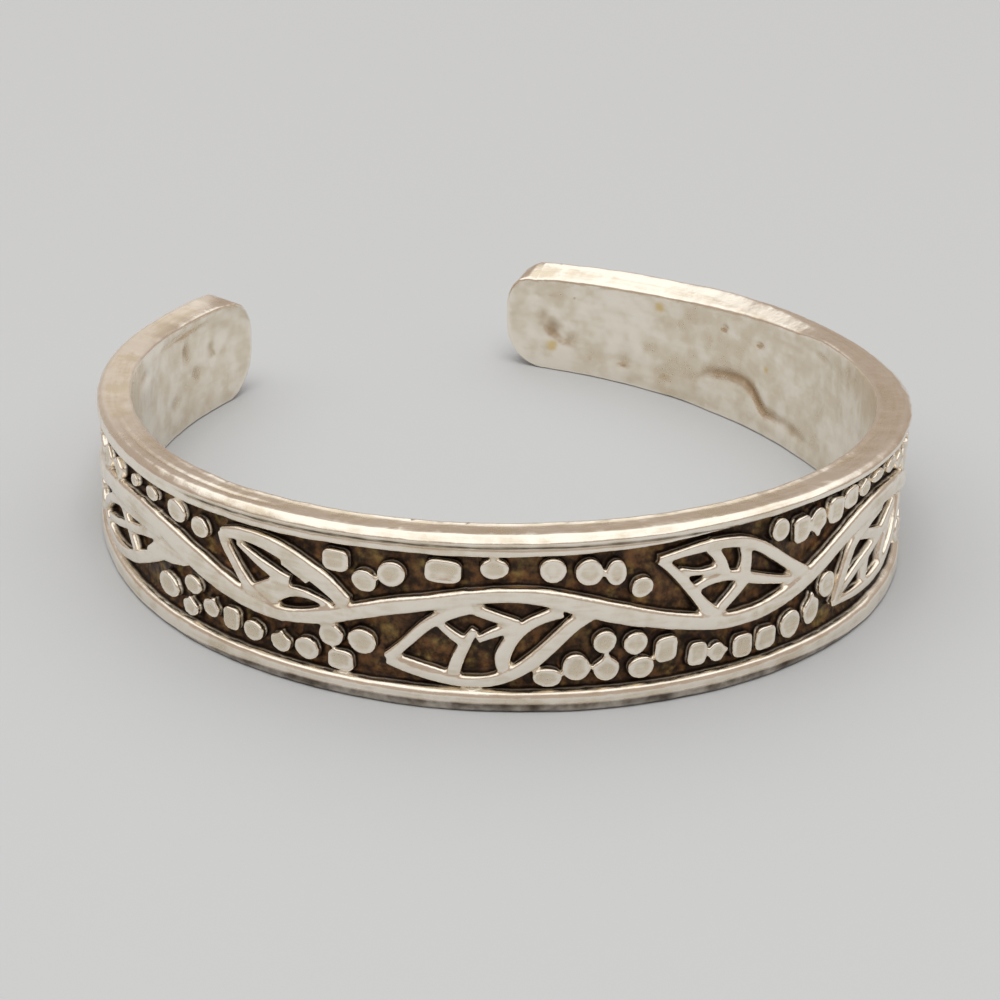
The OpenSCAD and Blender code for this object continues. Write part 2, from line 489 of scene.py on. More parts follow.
@dataclass
class Bar:
    """A bar with a rounded top, modelled once straight and laid along each line of the relief."""

    plan: Plan
    foot: float = 0.42
    top_round: float = 0.19
    cuts: int = 23
    # How often a line's corners are cut, and the length over which its direction is read
    corner_cuts: int = 3
    step: float = 0.02
    blank: Optional[Piece] = None

    def _straight(self) -> Piece:
        """Models the straight bar.

        Returns:
            The bar, a unit long and wide, with its top at depth 0 and its foot at 1.
        """
        bar = Bench.block("bar_blank", (0, 0, -0.5), (1, 1, 0.5))
        with Bench.edit(bar, "EDGE"):
            Bench.pick_edges(bar, lambda middle, way: way.x > STRAIGHT and middle.y < 0.1)
            bpy.ops.mesh.bevel(offset=self.top_round, segments=2, affect="EDGES")
            Bench.pick_edges(bar, lambda middle, way: way.x > STRAIGHT)
            bpy.ops.mesh.subdivide(number_cuts=self.cuts)
        return bar

    def lay(self, name: str, line: Points, widths: Sequence[float], top: float) -> Piece:
        """Lays a copy of the bar along a line.

        Args:
            name: Name of the copy.
            line: The line's points, each a turn and a share.
            widths: Widths at even steps along the line, in millimetres.
            top: Depth of the bar's top below the outer face.

        Returns:
            The laid bar.
        """
        if self.blank is None:
            self.blank = self._straight()
        along, up = (np.asarray(part, float) for part in zip(*line))
        way = np.column_stack(self.plan.flat(along, up))
        for _ in range(self.corner_cuts):
            way = self._cut_corners(way)
        steps = np.r_[0, np.cumsum(np.linalg.norm(np.diff(way, axis=0), axis=1))]
        bar = Bench.copy(self.blank, name)
        points = Bench.points(bar)
        here = points[:, 0] * steps[-1]
        centre, after, before = (
            np.column_stack([np.interp(here + off, steps, way[:, axis]) for axis in (0, 1)])
            for off in (0, self.step, -self.step))
        run = after - before
        run /= np.linalg.norm(run, axis=1)[:, None]
        width = np.interp(points[:, 0], np.linspace(0, 1, len(widths)), widths)
        across = points[:, 2] * width
        x = centre[:, 0] - run[:, 1] * across
        z = centre[:, 1] + run[:, 0] * across
        y = top + points[:, 1] * (self.foot - top)
        Bench.set_points(bar, np.column_stack([x, y, z]))
        return bar

    @staticmethod
    def _cut_corners(way: np.ndarray) -> np.ndarray:
        """Cuts a line's corners once, a quarter of the way along their sides, and keeps its two ends.

        Args:
            way: The line's points, as rows of x and z.

        Returns:
            The points of the line that is left.
        """
        cut = np.empty((2 * len(way), 2))
        cut[0], cut[-1] = way[0], way[-1]
        cut[1:-1:2] = 0.75 * way[:-1] + 0.25 * way[1:]
        cut[2::2] = 0.25 * way[:-1] + 0.75 * way[1:]
        return cut


# The stem's middle line: turn, share, and its width in millimetres
STEM = (
    (-109, 0.4, 0.42), (-104, 0.44, 0.42), (-98, 0.52, 0.42), (-92, 0.59, 0.42), (-86, 0.64, 0.42),
    (-80, 0.665, 0.42), (-75, 0.65, 0.42), (-70, 0.6, 0.5), (-65, 0.53, 0.56), (-60, 0.465, 0.5),
    (-55, 0.41, 0.38), (-50, 0.39, 0.32), (-45, 0.435, 0.38), (-40, 0.5, 0.36), (-35, 0.565, 0.38),
    (-30, 0.61, 0.34), (-25, 0.655, 0.32), (-20, 0.675, 0.32), (-15, 0.66, 0.36), (-10, 0.595, 0.44),
    (-5, 0.535, 0.46), (0, 0.48, 0.4), (5, 0.43, 0.37), (10, 0.395, 0.36), (15, 0.4, 0.37),
    (20, 0.445, 0.4), (25, 0.525, 0.42), (30, 0.62, 0.42), (35, 0.7, 0.44), (41, 0.735, 0.44),
    (47, 0.72, 0.42), (53, 0.67, 0.42), (59, 0.58, 0.42), (65, 0.49, 0.4), (71, 0.42, 0.38),
    (76, 0.4, 0.38), (81, 0.43, 0.4), (87, 0.51, 0.42), (93, 0.6, 0.42), (99, 0.66, 0.42),
    (104, 0.68, 0.42), (109, 0.67, 0.42),
)


@dataclass
class Vine:
    """The stem that waves along the whole panel, laid in overlapping lengths."""

    bar: Bar
    rows: int = 7
    top: float = 0.0

    def build(self) -> list[Piece]:
        """Lays the stem.

        Returns:
            The lengths of the stem.
        """
        lengths = []
        for first in range(0, len(STEM) - 1, self.rows - 2):
            turns, shares, widths = zip(*STEM[first:first + self.rows])
            lengths.append(self.bar.lay("stem", tuple(zip(turns, shares)), widths, self.top))
        return lengths


@dataclass(frozen=True)
class Stroke:
    """One raised line of a leaf: its points as turns and shares, its widths and the depth of its top."""

    line: Points
    widths: Sequence[float]
    top: float


@dataclass(frozen=True)
class Leaf:
    """One leaf of the vine: its outline from the stem to the tip, and its veins."""

    name: str
    edges: Sequence[Stroke]
    veins: Sequence[Stroke]

    def build(self, bar: Bar) -> list[Piece]:
        """Lays the leaf's outline and veins.

        Args:
            bar: The bar to lay.

        Returns:
            The laid bars.
        """
        return [bar.lay(self.name, stroke.line, stroke.widths, stroke.top)
                for stroke in (*self.edges, *self.veins)]


def edge(*line: Pair, widths: Sequence[float] = (0.32, 0.27, 0.25, 0.24, 0.24)) -> Stroke:
    """Makes a stroke of a leaf's outline."""
    return Stroke(line, widths, top=0.02)


def vein(*line: Pair, widths: Sequence[float] = (0.27, 0.25, 0.22)) -> Stroke:
    """Makes a stroke of a leaf's veins."""
    return Stroke(line, widths, top=0.045)


LEAVES = (
    Leaf(
        "leaf_left_side",
        edges=(
            edge((-74, 0.59), (-80, 0.585), (-85, 0.57), (-89, 0.52), (-93, 0.42), (-96, 0.28),
                 widths=(0.3, 0.26, 0.24)),
            edge((-69, 0.55), (-74, 0.45), (-79, 0.34), (-84, 0.23), (-90, 0.18), (-96, 0.28),
                 widths=(0.34, 0.28, 0.24)),
            edge((-66, 0.55), (-70, 0.53), (-74.5, 0.47), (-78, 0.41),
                 widths=(0.4, 0.62, 0.62, 0.4, 0.16))),
        veins=(
            vein((-75, 0.55), (-79, 0.51), (-84, 0.44), (-89, 0.35), (-93, 0.29),
                 widths=(0.24, 0.2, 0.16)),
            vein((-87, 0.55), (-84.5, 0.46), (-82.5, 0.34), (-81.5, 0.28), widths=(0.18, 0.24, 0.2)))),
    Leaf(
        "leaf_left",
        edges=(
            edge((-41, 0.54), (-43.5, 0.63), (-46.5, 0.7), (-50, 0.77), (-54, 0.81), (-58, 0.81),
                 (-60.5, 0.78), widths=(0.36, 0.42, 0.4, 0.36, 0.3, 0.26)),
            edge((-52, 0.41), (-55, 0.47), (-57, 0.56), (-58.7, 0.65), (-60, 0.73), (-60.5, 0.79))),
        veins=(
            vein((-57.8, 0.75), (-55, 0.69), (-52, 0.63), (-49.3, 0.6), widths=(0.12, 0.2, 0.28, 0.24)),
            vein((-49.8, 0.6), (-52.5, 0.55), (-55, 0.49), widths=(0.28, 0.28, 0.26)),
            vein((-53, 0.46), (-50, 0.54), (-47, 0.55), (-44.5, 0.525), (-42.5, 0.49),
                 widths=(0.4, 0.28, 0.17, 0.14)),
            vein((-46.5, 0.62), (-48.5, 0.67), (-50.5, 0.71), widths=(0.1, 0.14, 0.16)))),
    Leaf(
        "leaf_middle",
        edges=(
            edge((-24.5, 0.6), (-27.5, 0.555), (-30.3, 0.48), (-32.3, 0.39), (-34, 0.315), (-35.3, 0.26)),
            edge((-9, 0.56), (-11.5, 0.5), (-14.5, 0.37), (-17.5, 0.255), (-21, 0.18), (-25, 0.165),
                 (-30, 0.19), (-35.3, 0.26), widths=(0.32, 0.32, 0.34, 0.28, 0.24, 0.22, 0.24))),
        veins=(
            vein((-13, 0.575), (-16, 0.53), (-18, 0.48), (-19.6, 0.4), (-20.6, 0.3), (-20, 0.22),
                 widths=(0.3, 0.24, 0.28, 0.3, 0.34, 0.24)),
            vein((-25, 0.6), (-22, 0.55), (-18.5, 0.505), widths=(0.26, 0.24, 0.2)),
            vein((-18.8, 0.48), (-21, 0.465), (-23.6, 0.41), widths=(0.24, 0.2, 0.14)),
            vein((-28.4, 0.485), (-26.8, 0.43), (-25, 0.385), widths=(0.16, 0.2, 0.24)),
            vein((-24, 0.47), (-25, 0.4), (-26.2, 0.29), (-26.8, 0.19), widths=(0.16, 0.24, 0.26, 0.26)),
            vein((-34, 0.27), (-31, 0.24), (-27, 0.19), widths=(0.14, 0.16, 0.2)))),
    Leaf(
        "leaf_right",
        edges=(
            edge((24.5, 0.5), (21, 0.6), (18, 0.69), (15, 0.78), (11.5, 0.845), (6, 0.86), (-0.5, 0.815),
                 widths=(0.32, 0.28, 0.27, 0.27, 0.24, 0.18)),
            edge((8.5, 0.43), (6.2, 0.52), (4.5, 0.61), (2.8, 0.69), (1, 0.77), (-0.5, 0.815),
                 widths=(0.32, 0.27, 0.25, 0.24, 0.18))),
        veins=(
            vein((21.5, 0.52), (17.5, 0.56), (13.5, 0.61), (10.5, 0.66), (7, 0.655), (4.4, 0.61),
                 widths=(0.18, 0.2, 0.26, 0.24, 0.2, 0.24)),
            vein((12.6, 0.62), (11, 0.55), (9.2, 0.49), (8, 0.43), widths=(0.3, 0.26, 0.26)),
            vein((12.2, 0.64), (12.7, 0.73), (12, 0.84), widths=(0.34, 0.26, 0.3)),
            vein((9.3, 0.67), (8.6, 0.76), (6.2, 0.87), widths=(0.26, 0.24, 0.3)),
            vein((2.6, 0.735), (5.2, 0.705), (8.6, 0.71), widths=(0.18, 0.14, 0.2)))),
    Leaf(
        "leaf_right_side",
        edges=(
            edge((43, 0.68), (38, 0.64), (34.5, 0.59), (32.8, 0.47), (31.5, 0.36), (30, 0.26),
                 widths=(0.3, 0.28, 0.34, 0.3, 0.28, 0.14)),
            edge((53, 0.62), (51.5, 0.46), (48.5, 0.33), (44, 0.255), (37, 0.24), (30, 0.26),
                 widths=(0.32, 0.27, 0.25, 0.24, 0.14))),
        veins=(
            vein((50, 0.6), (45.5, 0.52), (40.5, 0.44), (36, 0.39), (31.5, 0.3)),
            vein((43.8, 0.49), (39.5, 0.55), (36, 0.59)),
            vein((39, 0.42), (38.8, 0.34), (38.5, 0.25)),
            vein((47, 0.53), (45.5, 0.42), (44.5, 0.28)))),
    Leaf(
        "leaf_right_arm",
        edges=(
            edge((83, 0.5), (79.5, 0.63), (76, 0.73), (72, 0.8), (67, 0.82), (62, 0.8)),
            edge((74, 0.42), (70, 0.47), (67, 0.55), (65, 0.63), (63.3, 0.72), (62, 0.8))),
        veins=(
            vein((79, 0.54), (74, 0.6), (69, 0.68), (63.5, 0.76)),
            vein((73, 0.61), (71, 0.54), (69, 0.48)),
            vein((74.5, 0.6), (73, 0.69), (71, 0.8)))),
    Leaf(
        "leaf_right_end",
        edges=(
            edge((103, 0.64), (98, 0.58), (94, 0.5), (91, 0.4), (89, 0.32), (88, 0.25)),
            edge((108, 0.6), (106, 0.42), (102, 0.28), (97, 0.19), (92, 0.19), (88, 0.25))),
        veins=(
            vein((105, 0.54), (99, 0.43), (94, 0.35), (89.5, 0.28)),
            vein((97.5, 0.4), (98, 0.3), (97.5, 0.2)),
            vein((100, 0.45), (97, 0.5), (95, 0.53)))),
)


class Cut(Enum):
    """How a pebble's outline is cut."""

    ROUND = "round"
    BLOCK = "block"
    DROP = "drop"


R, B, D = Cut.ROUND, Cut.BLOCK, Cut.DROP

# Turn, share, width along the band and height in millimetres, lean in degrees, and cut
PEBBLES = (
    # Over the stem
    (-103, 0.7, 0.7, 0.46, 0, R), (-97.5, 0.72, 0.7, 0.44, 0, R), (-92.5, 0.74, 0.62, 0.44, 0, R),
    (-87.2, 0.77, 0.52, 0.44, 0, R), (-82, 0.8, 0.32, 0.28, 0, R), (-76.8, 0.8, 0.48, 0.32, 10, R),
    (-70.2, 0.785, 0.62, 0.48, 8, R), (-64.9, 0.755, 0.54, 0.44, 0, R), (-42.5, 0.785, 0.54, 0.48, 0, B),
    (-38.5, 0.69, 0.53, 0.48, 0, R), (-34.9, 0.75, 0.58, 0.54, 0, R), (-28.2, 0.79, 0.72, 0.5, 0, B),
    (-21.7, 0.815, 0.56, 0.44, 0, R), (-14.3, 0.805, 0.52, 0.52, 0, R), (-9.6, 0.785, 0.54, 0.58, 0, R),
    (-6.1, 0.775, 0.44, 0.54, 0, R), (-2.6, 0.675, 0.48, 0.46, 0, R), (18.2, 0.84, 0.48, 0.5, 0, R),
    (22.2, 0.8, 0.46, 0.6, 0, B), (25.4, 0.81, 0.52, 0.6, 180, D), (29.3, 0.83, 0.52, 0.58, 0, B),
    (33, 0.86, 0.48, 0.46, 0, B), (36.8, 0.865, 0.46, 0.36, 0, D), (40.8, 0.885, 0.58, 0.26, 0, R),
    (46.5, 0.87, 0.6, 0.3, 0, R), (51.5, 0.83, 0.56, 0.4, 0, R), (56, 0.77, 0.52, 0.5, 0, R),
    (60.3, 0.69, 0.4, 0.4, 0, R), (85, 0.79, 0.6, 0.44, 0, R), (89.5, 0.81, 0.6, 0.38, 0, R),
    (94, 0.82, 0.6, 0.34, 0, B), (98.7, 0.82, 0.6, 0.32, 0, R), (103.5, 0.81, 0.6, 0.34, 0, R),
    # Under the stem
    (-104, 0.25, 0.7, 0.48, 0, R), (-99.2, 0.25, 0.6, 0.48, 0, R), (-72.6, 0.27, 0.74, 0.54, 0, R),
    (-67.4, 0.215, 0.5, 0.4, 0, D), (-66.6, 0.365, 0.52, 0.42, 0, R), (-63, 0.27, 0.5, 0.44, 20, D),
    (-59.1, 0.26, 0.44, 0.5, 0, B), (-55.2, 0.235, 0.5, 0.46, 0, R), (-50.7, 0.225, 0.48, 0.48, 0, D),
    (-46.7, 0.225, 0.58, 0.48, 0, R), (-43.2, 0.335, 0.54, 0.52, 0, R), (-41.8, 0.2, 0.58, 0.42, 0, B),
    (-38.8, 0.335, 0.6, 0.56, 0, R), (-14.6, 0.195, 0.58, 0.42, 20, R), (-10.9, 0.25, 0.56, 0.58, 0, R),
    (-7.3, 0.385, 0.5, 0.48, 0, R), (-6.9, 0.235, 0.54, 0.54, 0, D), (-3.1, 0.36, 0.5, 0.48, 0, R),
    (-2.2, 0.215, 0.54, 0.48, 0, R), (1.2, 0.3, 0.48, 0.54, 0, B), (5.8, 0.24, 0.42, 0.52, 0, B),
    (8.9, 0.225, 0.44, 0.44, 90, D), (12.8, 0.225, 0.5, 0.5, 0, B), (16.8, 0.225, 0.52, 0.52, 0, B),
    (21.2, 0.255, 0.56, 0.64, 0, R), (25.3, 0.29, 0.46, 0.7, 0, D), (28.5, 0.4, 0.54, 0.58, 0, R),
    (55.5, 0.3, 0.54, 0.54, 0, R), (59.6, 0.24, 0.54, 0.5, 0, R), (63.7, 0.23, 0.54, 0.48, 0, R),
    (67.8, 0.22, 0.54, 0.46, 0, B), (71.9, 0.22, 0.54, 0.46, 0, R), (76, 0.22, 0.54, 0.46, 0, R),
    (80.2, 0.24, 0.56, 0.5, 0, R), (84.2, 0.28, 0.54, 0.5, 0, R), (83, 0.42, 0.44, 0.38, 0, R),
)


@dataclass
class Pebbles:
    """The flat-topped pebbles that fill the ground: three blanks, cut once and copied."""

    plan: Plan
    foot: float = 0.42
    top: float = 0.02
    sides: int = 16
    rim: float = 0.12
    # Width and depth of the dish in a pebble's top
    dish: Pair = (0.12, 0.09)
    # Rounding of a block's corners, and how a drop's tip is drawn together and out
    block_round: float = 0.3
    drop_tip: Sequence[float] = (0.35, 1, 1.12)
    # Chance: the strength of the outline's lobes, and how far a pebble tilts, swings and sinks
    seed: int = 5
    uneven: float = 0.035
    tilt: float = 0.07
    swing: float = 6.0
    sink: float = 0.02

    def _disc(self, name: str) -> Piece:
        """Models a plain disc.

        Args:
            name: Name of the disc.

        Returns:
            The disc, a unit wide, with its top at depth 0 and its foot at 1.
        """
        Bench.put_down()
        bpy.ops.mesh.primitive_cylinder_add(
            vertices=self.sides, radius=0.5, depth=1, location=(0, 0.5, 0), rotation=(math.pi / 2, 0, 0))
        disc = Bench.settle(bpy.context.active_object)
        disc.name = name
        return disc

    def _finish(self, blank: Piece) -> Piece:
        """Rounds a blank's top rim and dishes its top a little.

        Args:
            blank: The plain blank.

        Returns:
            The same blank.
        """
        with Bench.edit(blank, "EDGE"):
            Bench.pick_edges(blank, lambda middle, way: middle.y < 0.01)
            bpy.ops.mesh.bevel(offset=self.rim, segments=3, affect="EDGES")
        with Bench.edit(blank):
            Bench.pick_faces(blank, lambda at, normal: normal.y < -FACING and at.y < 0.01)
            bpy.ops.mesh.inset(thickness=self.dish[0], depth=-self.dish[1])
        return blank

    def _wobble(self, pebble: Piece, draw: random.Random) -> None:
        """Makes a pebble's outline uneven, each in its own way.

        Args:
            pebble: The pebble, still a unit wide.
            draw: Where its chances are drawn from.
        """
        points = Bench.points(pebble)
        angle = np.arctan2(points[:, 2], points[:, 0])
        far = np.ones(len(points))
        for lobes in (2, 3, 5):
            far += self.uneven / (lobes - 1) * np.cos(lobes * angle + draw.uniform(0, 2 * math.pi))
        points[:, 0] *= far
        points[:, 2] *= far
        Bench.set_points(pebble, points)

    def _cut_blank(self, cut: Cut) -> Piece:
        """Models one blank.

        Args:
            cut: The outline to cut.

        Returns:
            The blank.
        """
        if cut is Cut.BLOCK:
            blank = Bench.block("pebble_block", (-0.5, 0, -0.5), (0.5, 1, 0.5))
            with Bench.edit(blank, "EDGE"):
                Bench.pick_edges(blank, lambda middle, way: way.y > STRAIGHT)
                bpy.ops.mesh.bevel(offset=self.block_round, segments=4, affect="EDGES")
            return self._finish(blank)
        blank = self._disc(f"pebble_{cut.value}")
        if cut is Cut.DROP:
            with Bench.edit(blank, "EDGE"):
                Bench.pick_edges(blank, lambda middle, way: way.y > STRAIGHT and middle.z > 0.3)
                bpy.ops.transform.resize(value=self.drop_tip, center_override=(0, 0.5, 0))
        return self._finish(blank)

    def build(self) -> list[Piece]:
        """Cuts the blanks and sets a copy for each row of the table.

        Returns:
            The set pebbles.
        """
        draw = random.Random(self.seed)
        blanks = {cut: self._cut_blank(cut) for cut in Cut}
        pebbles = []
        for turn, share, wide, tall, lean, cut in PEBBLES:
            x, z = (float(value) for value in self.plan.flat(turn, share))
            pebble = Bench.copy(blanks[cut], "pebble")
            self._wobble(pebble, draw)
            place = (
                Matrix.Translation((x, self.top + draw.uniform(0, self.sink), z))
                @ Matrix.Diagonal((wide, self.foot - self.top, tall, 1))
                @ Matrix.Rotation(draw.uniform(-self.tilt, self.tilt), 4, "X")
                @ Matrix.Rotation(math.radians(lean + draw.uniform(-self.swing, self.swing)), 4, "Y"))
            pebble.data.transform(place)
            pebbles.append(pebble)
        for blank in blanks.values():
            Bench.throw_away(blank)
        return pebbles


@dataclass(frozen=True)
class Dent:
    """A soft hollow in the inner face, as turn, share, width and height in millimetres, and depth."""

    turn: float
    share: float
    wide: float
    tall: float
    depth: float

    def cover(self, plan: Plan, points: np.ndarray) -> np.ndarray:
        """Tells how much each point lies in the hollow.

        Args:
            plan: The ring's plan.
            points: Rows of x, y and z on the flat strip.

        Returns:
            Numbers from 0 to 1.
        """
        x, z = plan.flat(self.turn, self.share)
        far = ((points[:, 0] - x) / self.wide) ** 2 + ((points[:, 2] - z) / self.tall) ** 2
        return np.exp(-far)


DENTS = (
    Dent(112.2, 0.79, 0.12, 0.1, 0.05), Dent(105.5, 0.74, 0.12, 0.08, 0.05),
    Dent(128.6, 0.23, 0.24, 0.16, 0.03), Dent(125, 0.4, 0.2, 0.14, 0.02),
    Dent(118.5, 0.54, 0.3, 0.2, 0.015), Dent(92, 0.88, 0.35, 0.1, 0.03),
    Dent(87, 0.55, 0.3, 0.3, 0.02), Dent(99, 0.85, 0.4, 0.12, 0.02),
    Dent(122, 0.2, 0.34, 0.14, 0.025), Dent(141, 0.54, 0.26, 0.26, 0.045),
    Dent(139.3, 0.44, 0.3, 0.26, 0.07), Dent(137, 0.34, 0.34, 0.2, 0.045),
    Dent(-129, 0.9, 1.0, 0.08, 0.04), Dent(-116, 0.8, 0.5, 0.16, 0.04),
    Dent(-123, 0.62, 0.22, 0.3, 0.03), Dent(-131, 0.7, 0.2, 0.26, 0.06),
    Dent(-133.5, 0.45, 0.26, 0.18, 0.05), Dent(-137.5, 0.6, 0.24, 0.2, 0.05),
    Dent(-127.5, 0.3, 0.24, 0.16, 0.03),
)

# The fold of metal along the bottom of the right arm's inner face: turn, share of its edge, and how far it
# stands out in millimetres
FOLD = (
    (90, 0.08, 0), (97, 0.14, 0.05), (103.5, 0.17, 0.06), (104.8, 0.22, 0.07), (106.3, 0.31, 0.07),
    (108, 0.36, 0.06), (111, 0.36, 0.06), (114.5, 0.32, 0.05), (116.4, 0.24, 0.03), (120, 0.17, 0.02),
    (128, 0.15, 0.02), (136, 0.15, 0.01), (142, 0.1, 0))


@dataclass(frozen=True)
class Lean:
    """A slope hammered into the inner side of one arm's top edge.

    It starts at a turn, over a part of the wall, and covers the whole wall from another turn on.
    """

    side: Side
    start: float
    full: float
    part: float
    slope: float
    # Turns over which it fades in at its start and out at the band's end
    fade: Pair = (6.0, 4.0)


@dataclass
class Casting:
    """The whole band as one skin: fused, worn, dented, rolled up and handed to the frame."""

    plan: Plan
    strip: Strip
    voxel: float = 0.035
    smooth_rounds: int = 2
    target: int = 190_000
    # Size and strength of the casting's unevenness
    ripples: Sequence[Pair] = ((1.6, 0.04), (0.5, 0.02))
    # Turns over which a mark along the band fades in and out
    soft: float = 12.0
    # Where wear starts and how far on it is full: on the inner face in parts of the wall, else in shares
    inner: Pair = (0.5, 0.4)
    upper: Pair = (0.7, 0.28)
    top: Pair = (0.9, 0.08)
    rim: Pair = (0.95, 0.03)
    fold_edge: float = 0.14
    leans: Sequence[Lean] = (Lean(Side.RIGHT, 92, 122, 0.3, 0.38), Lean(Side.LEFT, 110, 130, 0.3, 0.2))
    # The groove in the top edge: the turns it runs between, its depth, and its middle and width in the wall
    groove: Pair = (-96.0, -50.0)
    groove_depth: float = 0.035
    groove_at: Pair = (0.34, 0.05)
    # The lip on the inner side of the front's top edge: its turns, its height, and where it rises there
    lip: Pair = (-85.0, 80.0)
    lip_height: float = 0.03
    lip_rise: Pair = (-0.15, 0.1)
    # The line scored under the rim: its turns, its distance from the top, its width and its depth
    score: Pair = (-75.0, 62.0)
    score_drop: float = 0.23
    score_width: float = 0.04
    score_depth: float = 0.03
    # How deep below the outer face the scored line reaches
    score_skin: float = 0.1
    # For the finish: the shares that the ground lies between, and the depth at which it starts
    ground_shares: Pair = (0.07, 0.97)
    ground_from: float = 0.06
    # How often the ground's openness is averaged
    open_rounds: int = 12
    # The turn from which a painted highlight brightens the right arm's rim, and from which the left arm's
    # rim is satin, and over which that grows
    painted_highlight: Pair = (96.0, 10.0)
    satin: Pair = (80.0, 20.0)
    # Depth of a dent that is darkened in full
    dark_dent: float = 0.08

    def build(self, name: str) -> Piece:
        """Builds the ring.

        Args:
            name: Name of the finished piece.

        Returns:
            The ring, in metres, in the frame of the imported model.
        """
        bar = Bar(self.plan)
        pieces = [self.strip.build()]
        LOG.info("strip modelled")
        pieces += Vine(bar).build()
        for leaf in LEAVES:
            pieces += leaf.build(bar)
        pieces += Pebbles(self.plan).build()
        Bench.throw_away(bar.blank)
        LOG.info("relief laid: %d pieces", len(pieces) - 1)
        ring = Bench.join(name, pieces)
        self._fuse(ring)
        self._hand_wear(ring)
        triangles = 2 * len(ring.data.polygons)
        Bench.apply(ring, "DECIMATE", ratio=min(1.0, self.target / triangles))
        LOG.info("thinned: %d triangles", len(ring.data.polygons))
        self._mark(ring)
        rolled = self.plan.roll_up(Bench.points(ring))
        rolled[:, 2] = np.maximum(rolled[:, 2], 0)
        Bench.set_points(ring, rolled * MM)
        Bench.take(ring)
        bpy.ops.object.shade_smooth()
        return ring

    def _fuse(self, ring: Piece) -> None:
        """Fuses the joined pieces into one skin, wears its edges and gives it the casting's ripple.

        Args:
            ring: The joined pieces.
        """
        Bench.apply(ring, "REMESH", mode="VOXEL", voxel_size=self.voxel, adaptivity=0.0)
        LOG.info("fused: %d faces", len(ring.data.polygons))
        Bench.apply(ring, "SMOOTH", factor=0.5, iterations=self.smooth_rounds)
        for size, strength in self.ripples:
            clouds = bpy.data.textures.new("ripple", "CLOUDS")
            clouds.noise_scale = size
            Bench.apply(
                ring, "DISPLACE", texture=clouds, strength=strength, mid_level=0.5, texture_coords="LOCAL")

    def _hand_wear(self, ring: Piece) -> None:
        """Presses the dents and the fold into the inner face, and shapes the top edge.

        Args:
            ring: The fused skin, still flat.
        """
        points = Bench.points(ring)
        turn, deep, wall = self.plan.turn_at(points[:, 0]), points[:, 1].copy(), self.plan.wall
        high = self.plan.height_at(turn)
        share = points[:, 2] / high
        inner = ramp(deep, *(part * wall for part in self.inner))
        for dent in DENTS:
            points[:, 1] -= inner * dent.depth * dent.cover(self.plan, points)
        # The metal of the fold stands out below its edge, with a hollow just above it
        over, fold = self._fold_at(turn, share)
        points[:, 1] += inner * fold * (0.5 - 0.5 * np.tanh(over))
        points[:, 1] -= inner * 0.4 * fold * bell(over, 1.4)
        upper, top = ramp(share, *self.upper), ramp(share, *self.top)
        for lean in self.leans:
            along = lean.side.value * turn
            arm = ramp(along, lean.start, lean.fade[0]) * ramp(-along, -self.plan.end_turn, lean.fade[1])
            part = np.interp(along, (lean.start, lean.full), (lean.part, 1))
            points[:, 2] -= upper * arm * lean.slope * np.clip(deep - wall * (1 - part), 0, wall)
        groove, lip = (top * self._between(turn, *turns) for turns in (self.groove, self.lip))
        points[:, 2] -= groove * self.groove_depth * bell(deep, *self.groove_at)
        points[:, 2] += lip * self.lip_height * ramp(deep - wall, *self.lip_rise)
        skin = np.clip(1 - deep / self.score_skin, 0, 1)
        points[:, 1] += self._scored(turn, high - points[:, 2]) * self.score_depth * skin
        Bench.set_points(ring, points)

    def _between(self, turn: np.ndarray, start: float, end: float) -> np.ndarray:
        """Tells how much a turn lies between two others, from 0 to 1, with soft ends."""
        return ramp(turn, start, self.soft) * ramp(-turn, -end, self.soft)

    def _scored(self, turn: np.ndarray, drop: np.ndarray) -> np.ndarray:
        """Tells how much each point lies on the line scored under the rim.

        Args:
            turn: Turns in degrees.
            drop: Distances below the top edge.

        Returns:
            Numbers from 0 to 1.
        """
        return self._between(turn, *self.score) * bell(drop, self.score_drop, self.score_width)

    def _fold_at(self, turn: np.ndarray, share: np.ndarray) -> tuple[np.ndarray, np.ndarray]:
        """Reads the fold of the inner face.

        Args:
            turn: Turns in degrees.
            share: Shares of the height.

        Returns:
            Heights over the fold's edge, in widths of that edge, and how far the fold stands out.
        """
        turns, shares, heights = zip(*FOLD)
        over = (share - np.interp(turn, turns, shares)) * self.plan.height_at(turn) / self.fold_edge
        return over, np.interp(turn, turns, heights)

    def _mark(self, ring: Piece) -> None:
        """Stores how sunk, how worn and how creased each point is, for the finish, which paints shade and
        highlight from some of these.

        Args:
            ring: The worn skin, still flat.
        """
        points = Bench.points(ring)
        turn, deep, wall = self.plan.turn_at(points[:, 0]), points[:, 1], self.plan.wall
        high = self.plan.height_at(turn)
        share = points[:, 2] / high
        outside = deep < 0.5 * wall
        # The ground, and how wide it lies open around each point, by which the finish paints shade where
        # the ground is narrow
        low, top = self.ground_shares
        in_panel = outside & (np.abs(turn) < self.strip.panel_turn + 1) & (share > low) & (share < top)
        sunk = np.where(in_panel, ramp(deep, self.ground_from, self.strip.ground - self.ground_from), 0.0)
        self._store(ring, "open", self._blur(ring, sunk[:, None], self.open_rounds)[:, 0])
        scored = 0.5 * self._scored(turn, high - points[:, 2])
        self._store(ring, "sunk", np.maximum(sunk, np.where(outside, scored, 0)))
        self._store(ring, "outside", outside)
        # What stands out is worn, and the same value also paints a sheen on it; the right arm's rim gets a
        # strong painted highlight; few streaks show on the inner face
        rim = ramp(share, *self.rim)
        self._store(ring, "wear_and_highlight", self._convexity(ring, points) + 5 * (ramp(turn, *self.painted_highlight) * rim))
        self._store(ring, "brushed", np.where(deep > 0.9 * wall, 0.25, 1.0))
        self._store(ring, "satin", ramp(-turn, *self.satin) * rim)
        strip = ring.data.attributes.new("strip", "FLOAT_VECTOR", "POINT")
        strip.data.foreach_set("vector", points.astype(np.float32).ravel())
